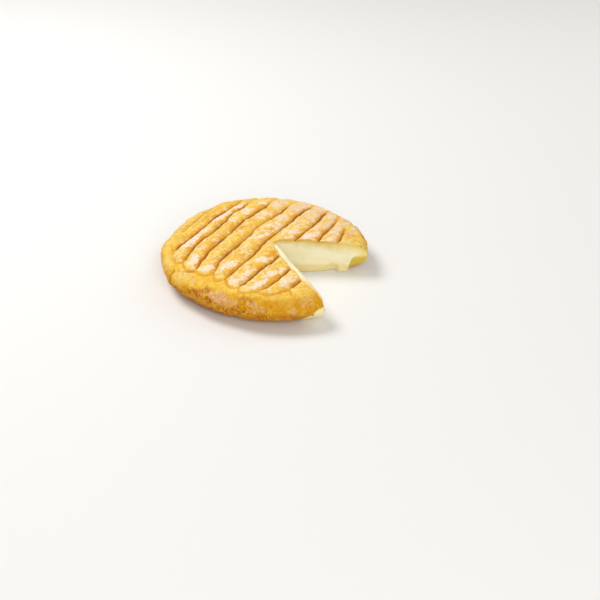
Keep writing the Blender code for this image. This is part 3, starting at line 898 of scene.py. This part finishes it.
class Nodes:
    """Short calls for building a node tree, one colour laid over another."""

    def __init__(self, name, colours):
        self.colours = colours
        self.material = bpy.data.materials.new(name)
        self.material.use_nodes = True
        self.tree = self.material.node_tree
        self.shader = self.tree.nodes["Principled BSDF"]
        self.place = self.new("ShaderNodeTexCoord").outputs["Object"]

    def new(self, kind):
        return self.tree.nodes.new(kind)

    def link(self, source, target):
        """Join an output to a socket, or set the socket to a number or a colour."""
        if isinstance(source, (int, float, tuple)):
            target.default_value = source
        else:
            self.tree.links.new(source, target)

    def join(self, node, sockets):
        for name, source in sockets.items():
            self.link(source, node.inputs[name])
        return node

    def mask(self, name):
        node = self.new("ShaderNodeAttribute")
        node.attribute_name = name
        return node.outputs["Fac"]

    def noise(self, size, detail=2.0, rough=0.5, stretch=(1, 1, 1), warp=0.0, shift=0.0):
        """Noise with features of the given size, in metres."""
        place = self.join(self.new("ShaderNodeMapping"), {
            "Vector": self.place, "Scale": stretch, "Location": (shift, shift * 0.7, shift * 0.4),
        }).outputs["Vector"]
        return self.join(self.new("ShaderNodeTexNoise"), {
            "Vector": place, "Scale": 1.0 / size, "Detail": detail, "Roughness": rough,
            "Distortion": warp,
        }).outputs["Fac"]

    def ramp(self, value, a, b, low=0.0, high=1.0):
        """Soft step from low at a to high at b."""
        node = self.new("ShaderNodeMapRange")
        node.interpolation_type = "SMOOTHSTEP"
        sockets = {"Value": value, "From Min": a, "From Max": b, "To Min": low, "To Max": high}
        return self.join(node, sockets).outputs["Result"]

    def math(self, kind, a, b=0.0):
        node = self.new("ShaderNodeMath")
        node.operation = kind
        return self.join(node, {0: a, 1: b}).outputs["Value"]

    def times(self, a, b):
        return self.math("MULTIPLY", a, b)

    def mix(self, share, a, b):
        """Colour a with a share of b laid over it; either may be a name in the palette."""
        a, b = (self.colours[c] if isinstance(c, str) else c for c in (a, b))
        node = self.new("ShaderNodeMix")
        node.data_type = "RGBA"
        return self.join(node, {"Factor": share, 6: a, 7: b}).outputs[2]

    def lay(self, share, colour):
        """Lay a share of a colour over what the material has so far."""
        self.colour = self.mix(share, self.colour, colour)

    def cover(self, mask, patch, patch_step, grain, grain_step):
        """A mask whose edges are broken up by patchy noise and by grain."""
        total = self.math("ADD", mask, self.ramp(patch, *patch_step))
        return self.math("ADD", total, self.ramp(grain, *grain_step))

    def bump(self, height, depth, strength=1.0, under=None):
        sockets = {"Height": height, "Distance": depth, "Strength": strength}
        if under is not None:
            sockets["Normal"] = under
        return self.join(self.new("ShaderNodeBump"), sockets).outputs["Normal"]

    def finish(self, roughness, normal, specular, subsurface, radius):
        """Wire up the shader; what is even all over is set on its own socket."""
        self.join(self.shader, {
            "Base Color": self.colour, "Roughness": roughness, "Normal": normal,
            "Specular IOR Level": specular, "Subsurface Weight": subsurface,
            "Subsurface Radius": radius, "Subsurface Scale": 1.0,
        })
        return self.material


RIND = palette(
    # The third colour below is a painted highlight for the middle of each ridge
    top=(237, 185, 46), top_light=(245, 206, 92), ridge=(248, 212, 124),
    # The second colour below is painted shade for the lower side
    side=(205, 136, 0), side_low=(152, 82, 0), side_light=(226, 166, 4),
    pale=(238, 206, 122), gold=(225, 156, 24), lemon=(248, 214, 92), olive=(226, 202, 86),
    # The first colour below is the rind's rust and also painted shade on the shaded ridge flanks
    # The second colour below is the groove's deeper orange, partly painted shade
    # The third colour below is a painted highlight for the lit lips of creases and wrinkles
    rust=(222, 146, 16), moat=(222, 146, 26), lip=(252, 224, 152),
    bloom_edge=(240, 200, 116), white=(253, 236, 208), white_cool=(252, 231, 222),
    white_rosy=(233, 201, 160), white_worn=(222, 182, 116),
    golden=(222, 162, 0), dust_dark=(206, 150, 98), dust=(229, 192, 152),
    brown=(164, 84, 0), rosy=(228, 164, 74), ribs=(238, 188, 50), stain=(206, 132, 0),
    # The first colour below is painted shade for the creases, the pit and the folds
    # The second colour below is a painted shadow for the foot
    crease=(158, 82, 2), foot=(150, 80, 14), speck_light=(252, 222, 150),
    speck_dark=(196, 118, 0), fleck=(180, 118, 20), cut_edge=(230, 208, 116),
    bead=(246, 230, 178),
)
PASTE = palette(
    body=(250, 241, 208), body_warm=(248, 236, 192), low=(234, 208, 124),
    olive=(228, 201, 120), olive_far=(240, 221, 152), crust=(216, 170, 62),
    crust_far=(236, 212, 126), streak=(236, 216, 150), warm=(246, 212, 142),
    tan=(222, 180, 104), tan_dark=(214, 168, 92), skin=(214, 190, 58),
    skin_top=(238, 212, 132),
)


def rind_material():
    n = Nodes("rind", RIND)
    broad = n.ramp(n.noise(0.016, 3.0, 0.55, warp=0.4), 0.38, 0.62)
    patch = n.noise(0.0060, 4.0, 0.60, warp=0.5, shift=3.1)
    grain = n.noise(0.0017, 3.0, 0.62, stretch=(1.0, 0.6, 1.0), shift=5.3)
    speck = n.noise(0.0011, 2.0, 0.55, stretch=(1.0, 0.7, 1.0), shift=8.7)
    golden = n.mask("golden")
    calm = n.ramp(golden, 0.0, 1.0, 1.0, 0.40)

    # Ground colours of the top, with a painted highlight along the middle of each ridge, and of
    # the side
    top = n.mix(broad, "top", "top_light")
    # Painted highlight: the top lighter along the middle of each ridge
    top = n.mix(n.times(n.mask("ridge"), 0.20), top, "ridge")
    # Painted shade: the side darker towards the bottom
    side = n.mix(n.mask("low"), "side", "side_low")
    side = n.mix(n.ramp(broad, 0.2, 0.9, 0.0, 0.30), side, "side_light")
    n.colour = n.mix(n.math("MAXIMUM", golden, n.mask("low")), top, side)
    n.lay(n.times(n.mask("pale"), 0.75), "pale")
    gold = n.ramp(n.noise(0.0044, 3.0, 0.62, warp=0.4, shift=13.0), 0.49, 0.60, 0.0, 0.62)
    n.lay(gold, "gold")
    lemon = n.ramp(n.noise(0.0050, 3.0, 0.62, warp=0.4, shift=15.0), 0.51, 0.61, 0.0, 0.62)
    n.lay(n.times(lemon, calm), "lemon")
    green = n.ramp(n.noise(0.0048, 3.0, 0.6, shift=11.0), 0.50, 0.62)
    green = n.times(green, n.ramp(n.mask("olive"), 0.0, 1.0, 0.25, 0.90))
    n.lay(green, "olive")

    # Rust patches, and the same rust colour as painted shade on the ridge flank beside each
    # crease that faces away from the light; a deeper orange in the groove before the ridges'
    # ends, partly painted shade; and the paler lip beside each crease, a painted highlight on its
    # lit side
    rust = n.math("MAXIMUM", n.mask("rust"), n.times(n.mask("shaded_flank"), 0.75))
    rust = n.times(rust, n.ramp(patch, 0.30, 0.58, 0.30, 0.95))
    n.lay(rust, "rust")
    # Deeper orange in the groove before the ridges' ends, partly painted shade
    n.lay(n.times(n.mask("moat"), 0.65), "moat")
    # Painted highlight: the pale lip on the lit side of each crease and wrinkle
    lip = n.times(n.mask("lip"), n.ramp(grain, 0.35, 0.60, 0.10, 0.65))
    n.lay(lip, "lip")

    # White bloom on the ridges
    bloom = n.mask("bloom")
    n.lay(n.times(bloom, 0.30), "bloom_edge")
    cover = n.cover(bloom, patch, (0.32, 0.68, 0.34, -0.34), grain, (0.32, 0.68, -0.14, 0.14))
    cover = n.times(n.ramp(cover, 0.22, 0.84, 0.0, 0.86), n.ramp(bloom, 0.02, 0.20))
    white = n.ramp(n.noise(0.005, shift=17.0), 0.42, 0.58)
    white = n.mix(white, "white", "white_cool")
    rosy = n.times(n.mask("rosy"), n.ramp(grain, 0.35, 0.65, 0.2, 0.9))
    white = n.mix(rosy, white, "white_rosy")
    worn = n.ramp(n.noise(0.0016, shift=19.0), 0.54, 0.64, 0.0, 0.50)
    white = n.mix(worn, white, "white_worn")
    n.lay(cover, white)

    # The side: golden, with grey mould, brown places, fine ribs and stains
    n.lay(n.times(golden, 0.40), "golden")
    mould = n.mask("side_bloom")
    dust = n.cover(mould, patch, (0.30, 0.70, 0.32, -0.32), grain, (0.30, 0.70, -0.18, 0.18))
    dust = n.times(n.ramp(dust, 0.28, 0.92, 0.0, 0.84), n.ramp(mould, 0.02, 0.25))
    dusty = n.mix(n.ramp(grain, 0.40, 0.60), "dust_dark", "dust")
    n.lay(dust, dusty)
    brown = n.ramp(n.noise(0.0038, 4.0, 0.7, warp=0.6, shift=21.0), 0.41, 0.52)
    brown = n.times(n.ramp(n.mask("brown"), 0.1, 0.7), brown)
    n.lay(n.times(brown, 0.92), "brown")
    rosy = n.ramp(n.noise(0.0026, 3.0, 0.6, shift=25.0), 0.56, 0.64, 0.0, 0.7)
    n.lay(n.times(n.mask("brown"), rosy), "rosy")
    ribs = n.noise(0.0014, stretch=(1.0, 1.0, 0.34), shift=23.0)
    ribs = n.times(n.ramp(ribs, 0.52, 0.66), golden)
    n.lay(n.times(ribs, 0.60), "ribs")
    stain = n.ramp(n.noise(0.0070, 4.0, 0.7, warp=0.6, shift=33.0), 0.50, 0.60, 0.0, 0.40)
    n.lay(n.times(stain, golden), "stain")

    # Painted shade: the dark crease colour in the creases, the pit and the folds, and a painted
    # shadow at the foot; then specks, and the paste at the cuts
    crease = n.times(n.mask("crease"), n.ramp(patch, 0.25, 0.65, 1.0, 1.5))
    n.lay(n.math("MINIMUM", crease, 0.94), "crease")
    # Painted shadow: dark brown at the foot, where the cheese meets the floor
    foot = n.times(n.mask("foot"), n.ramp(patch, 0.3, 0.7, 0.50, 0.92))
    n.lay(foot, "foot")
    light = n.times(n.ramp(speck, 0.54, 0.70, 0.0, 0.22), calm)
    n.lay(light, "speck_light")
    n.lay(n.ramp(speck, 0.46, 0.32, 0.0, 0.30), "speck_dark")
    fleck = n.ramp(n.noise(0.0013, shift=27.0), 0.645, 0.70, 0.0, 0.60)
    n.lay(n.times(fleck, calm), "fleck")
    cut_edge = n.times(n.mask("edge"), n.ramp(patch, 0.3, 0.7, 0.55, 0.95))
    n.lay(cut_edge, "cut_edge")
    n.lay(n.mask("bead"), "bead")

    gloss = n.ramp(patch, 0.3, 0.7, 0.60, 0.42)
    fine = n.bump(n.noise(0.0011, 4.0, 0.6, shift=31.0), 0.00022, 0.55)
    lines = n.noise(0.0024, 3.0, 0.6, stretch=(1.0, 0.45, 1.0), shift=37.0)
    normal = n.bump(lines, 0.00065, 0.6, fine)
    return n.finish(gloss, normal, 0.10, 0.06, (0.0018, 0.0009, 0.0003))


def paste_material():
    n = Nodes("paste", PASTE)
    cloud = n.noise(0.014, 3.0, 0.5, warp=0.3, shift=2.0)
    ragged = n.ramp(n.noise(0.006, shift=4.0), 0.3, 0.7, -0.4, 0.4)
    under = n.math("ADD", n.mask("under"), ragged)

    # Body, warmer towards the foot, then the olive band and the crust under the rind
    body = n.mix(n.ramp(cloud, 0.35, 0.65), "body", "body_warm")
    low = n.ramp(n.math("ADD", n.mask("high"), n.ramp(cloud, 0.3, 0.7, -1.5, 1.5)), 11.0, 6.0)
    body = n.mix(n.times(low, 0.60), body, "low")
    olive = n.mix(n.mask("far"), "olive", "olive_far")
    band = n.mix(n.ramp(under, 1.4, 6.4), olive, body)
    crust = n.mix(n.mask("far"), "crust", "crust_far")
    n.colour = n.mix(n.ramp(under, 0.2, 2.2), crust, band)
    streak = n.noise(0.004, 3.0, 0.6, stretch=(0.3, 0.3, 2.4), shift=6.0)
    n.lay(n.ramp(streak, 0.56, 0.74, 0.0, 0.32), "streak")
    n.lay(n.times(n.mask("warm"), 0.75), "warm")

    # Rind that shows at the far end of cut A, by its height
    rind = n.mix(n.ramp(cloud, 0.3, 0.7), "tan", "tan_dark")
    rind = n.mix(n.ramp(n.mask("high"), 4.0, 10.0), rind, "skin")
    rind = n.mix(n.ramp(n.mask("high"), 12.5, 16.5), rind, "skin_top")
    n.lay(n.mask("skin"), rind)

    fine = n.bump(n.noise(0.0016, 3.0, 0.55, shift=9.0), 0.00012, 0.4)
    knife = n.noise(0.0022, stretch=(0.35, 0.35, 1.6), shift=14.0)
    cuts = n.bump(n.ramp(knife, 0.40, 0.62), 0.00016, 0.35, fine)
    gloss = n.ramp(streak, 0.3, 0.7, 0.46, 0.34)
    normal = n.bump(streak, 0.00040, 0.5, cuts)
    return n.finish(gloss, normal, 0.30, 0.40, (0.0050, 0.0036, 0.0018))


mesh.materials.append(rind_material())
mesh.materials.append(paste_material())
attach(cheese, "root")
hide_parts("cheese_wheel")

# ---- floor, light, camera
FLOOR_HALF = 3.0
FLOOR_COLOUR = (0.86, 0.85, 0.83, 1)
FLOOR_ROUGHNESS = 0.7
# Name, place in the photo's plan (+Y away from the camera) and height, size and watts
LAMPS = (
    ("key", -0.75, 0.55, 1.15, 0.70, 13.4),
    ("fill", 0.35, -1.35, 0.80, 1.20, 10.6),
    ("rim", 0.9, 0.7, 0.8, 0.9, 2.5),
)
LAMP_AIM = (0.0, 0.0, 0.015)
WORLD_COLOUR = (1.0, 0.99, 0.97, 1.0)
WORLD_STRENGTH = 0.42
# Camera, from the edges of the board: focal length in pixels of the 600 pixel frame,
# turn, pitch, place in the photo's plan and height
PHOTO_TURN = math.radians(34.0)
PHOTO_PIXELS = 600.0
LENS_PIXELS = 976.6
SENSOR_WIDTH = 36.0
CAMERA_PITCH = math.radians(33.66)
CAMERA_PLAN = (0.03303, -0.80361)
CAMERA_HEIGHT = 0.49796


def from_photo_plan(x, y):
    """Photo plan point, +Y away from the camera, in the row frame."""
    ca, sa = math.cos(PHOTO_TURN), math.sin(PHOTO_TURN)
    return (x * ca - y * sa - ORIGIN_SHIFT[0], x * sa + y * ca - ORIGIN_SHIFT[1])


def lamp(name, x, y, z, size, power):
    """A round soft lamp, aimed at the cheese."""
    data = bpy.data.lights.new(name, "AREA")
    data.shape = "DISK"
    data.size = size
    data.energy = power
    item = bpy.data.objects.new(name, data)
    bpy.context.scene.collection.objects.link(item)
    place = (*from_photo_plan(x, y), z)
    item.location = place
    aim = np.array(LAMP_AIM) - np.array(place)
    pitch = math.acos(-aim[2] / np.linalg.norm(aim))
    item.rotation_euler = (pitch, 0.0, math.atan2(aim[1], aim[0]) - math.pi / 2)


ground = bpy.data.meshes.new("floor")
corners = [(x * FLOOR_HALF, y * FLOOR_HALF, 0) for x, y in ((-1, -1), (1, -1), (1, 1), (-1, 1))]
ground.from_pydata(corners, [], [(0, 1, 2, 3)])
floor = bpy.data.objects.new("floor", ground)
bpy.context.scene.collection.objects.link(floor)
floor_material = bpy.data.materials.new("floor")
floor_material.use_nodes = True
floor_shader = floor_material.node_tree.nodes["Principled BSDF"]
floor_shader.inputs["Base Color"].default_value = FLOOR_COLOUR
floor_shader.inputs["Roughness"].default_value = FLOOR_ROUGHNESS
ground.materials.append(floor_material)

camera_data = bpy.data.cameras.new("camera")
camera_data.sensor_width = SENSOR_WIDTH
camera_data.lens = SENSOR_WIDTH * LENS_PIXELS / PHOTO_PIXELS
camera_data.clip_start = 0.01
camera = bpy.data.objects.new("camera", camera_data)
bpy.context.scene.collection.objects.link(camera)
camera.location = (*from_photo_plan(*CAMERA_PLAN), CAMERA_HEIGHT)
camera.rotation_euler = (math.pi / 2 - CAMERA_PITCH, 0.0, PHOTO_TURN)
bpy.context.scene.camera = camera

for row in LAMPS:
    lamp(*row)
world = bpy.data.worlds.new("studio")
bpy.context.scene.world = world
world.use_nodes = True
background = world.node_tree.nodes["Background"]
background.inputs["Color"].default_value = WORLD_COLOUR
background.inputs["Strength"].default_value = WORLD_STRENGTH
bpy.context.scene.view_settings.view_transform = "Standard"
